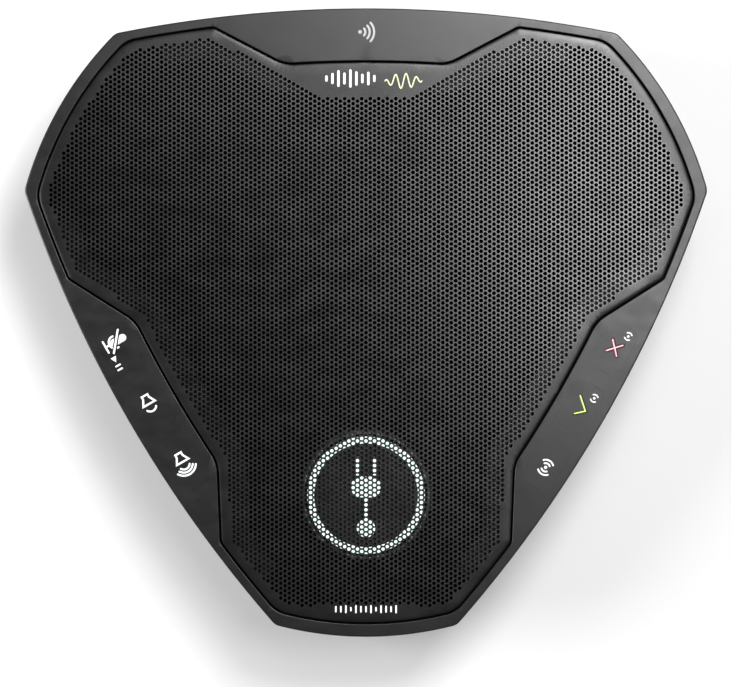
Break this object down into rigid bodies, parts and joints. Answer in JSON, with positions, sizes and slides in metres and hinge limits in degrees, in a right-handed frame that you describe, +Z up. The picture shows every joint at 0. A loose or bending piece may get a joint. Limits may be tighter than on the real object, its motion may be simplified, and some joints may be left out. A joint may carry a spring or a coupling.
{
  "type": "conference speakerphone",
  "caption": "Flat three-lobed desktop speakerphone with a domed perforated grille, flush keys on two wings, a lit round display and rear sockets.",
  "frame": {"origin": "centre of the outline's box, on the surface that the feet stand on", "axes": "+Z up through the grille, +X to the side with the hang-up and answer keys, +Y to the rear wing and the sockets"},
  "size_m": [0.1714, 0.1578, 0.034],
  "materials": {
    "frame_plastic": "fine satin texture",
    "key_plastic": "fine satin texture, printed marks",
    "grille_metal": "powder coated, perforated",
    "cloth": "acoustic cloth",
    "shell_plastic": "moulded texture",
    "inner_plastic": "plain moulded",
    "rubber": "soft rubber",
    "light_guide": "translucent diffuser",
    "circuit_board": "solder mask",
    "lamps": "clear resin",
    "chip_resin": "moulded resin",
    "tin_plate": "tin plated sheet",
    "ferrite": "sintered",
    "cone_paper": "pressed paper",
    "spider_cloth": "impregnated cloth",
    "copper_wire": "enamelled",
    "connector_plastic": "nylon",
    "battery_film": "shrink film",
    "red_wire": "insulation",
    "black_wire": "insulation",
    "flex_film": "polyimide film",
    "screw_steel": "zinc plated"
  },
  "bodies": {
    "housing": {"top_frame": "frame_plastic", "grille": "grille_metal", "acoustic_cloth": "cloth", "carrier": "inner_plastic", "key_mat_left": "rubber", "key_mat_right": "rubber", "key_board_left": "circuit_board", "key_board_right": "circuit_board", "key_domes": "tin_plate", "contactless_antenna": "circuit_board", "display_light_guide": "light_guide", "display_board": "circuit_board", "display_lamps": "lamps", "display_header": "chip_resin", "speaker_gasket": "rubber", "speaker_basket": "inner_plastic", "speaker_surround": "rubber", "speaker_spider": "spider_cloth", "speaker_top_plate": "tin_plate", "speaker_magnet": "ferrite", "speaker_yoke": "tin_plate", "speaker_chamber": "inner_plastic", "speaker_screws": "screw_steel", "microphones": "tin_plate", "microphone_boots": "rubber", "main_board": "circuit_board", "board_chips": "chip_resin", "shield_can": "tin_plate", "board_capacitors": "tin_plate", "board_connectors": "connector_plastic", "battery_pack": "battery_film", "battery_lead": "red_wire", "speaker_lead": "black_wire", "port_cable": "black_wire", "key_ribbons": "flex_film", "port_board": "circuit_board", "usb_socket": "tin_plate", "usb_contacts": "chip_resin", "headset_socket": "chip_resin", "power_switch": "tin_plate", "bottom_shell": "shell_plastic", "rubber_feet": "rubber", "battery_door": "shell_plastic", "door_screws": "screw_steel", "housing_screws": "screw_steel", "carrier_screws": "screw_steel", "board_screws": "screw_steel"},
    "key_mute": {"key_mute": "key_plastic"},
    "key_volume_down": {"key_volume_down": "key_plastic"},
    "key_volume_up": {"key_volume_up": "key_plastic"},
    "key_hang_up": {"key_hang_up": "key_plastic"},
    "key_answer": {"key_answer": "key_plastic"},
    "key_wireless": {"key_wireless": "key_plastic"},
    "power_button": {"power_button": "key_plastic"},
    "cone": {"speaker_cone": "cone_paper", "speaker_dust_cap": "cone_paper", "voice_coil": "copper_wire"}
  },
  "joints": [
    {"name": "key_mute_press", "type": "slide", "parent": "housing", "child": "key_mute", "axis": [0, 0, 1], "range_m": [-0.0005, 0], "stiffness_N_per_m": 800, "springref_m": 0.0003},
    {"name": "key_volume_down_press", "type": "slide", "parent": "housing", "child": "key_volume_down", "axis": [0, 0, 1], "range_m": [-0.0005, 0], "stiffness_N_per_m": 800, "springref_m": 0.0003},
    {"name": "key_volume_up_press", "type": "slide", "parent": "housing", "child": "key_volume_up", "axis": [0, 0, 1], "range_m": [-0.0005, 0], "stiffness_N_per_m": 800, "springref_m": 0.0003},
    {"name": "key_hang_up_press", "type": "slide", "parent": "housing", "child": "key_hang_up", "axis": [0, 0, 1], "range_m": [-0.0005, 0], "stiffness_N_per_m": 800, "springref_m": 0.0003},
    {"name": "key_answer_press", "type": "slide", "parent": "housing", "child": "key_answer", "axis": [0, 0, 1], "range_m": [-0.0005, 0], "stiffness_N_per_m": 800, "springref_m": 0.0003},
    {"name": "key_wireless_press", "type": "slide", "parent": "housing", "child": "key_wireless", "axis": [0, 0, 1], "range_m": [-0.0005, 0], "stiffness_N_per_m": 800, "springref_m": 0.0003},
    {"name": "power_button_press", "type": "slide", "parent": "housing", "child": "power_button", "axis": [0, 1, 0], "range_m": [-0.0004, 0], "stiffness_N_per_m": 800, "springref_m": 0.0003},
    {"name": "cone_travel", "type": "slide", "parent": "housing", "child": "cone", "axis": [0, 0, 1], "range_m": [-0.0008, 0.0008], "stiffness_N_per_m": 1500, "deforming": ["speaker_surround", "speaker_spider"]}
  ]
}
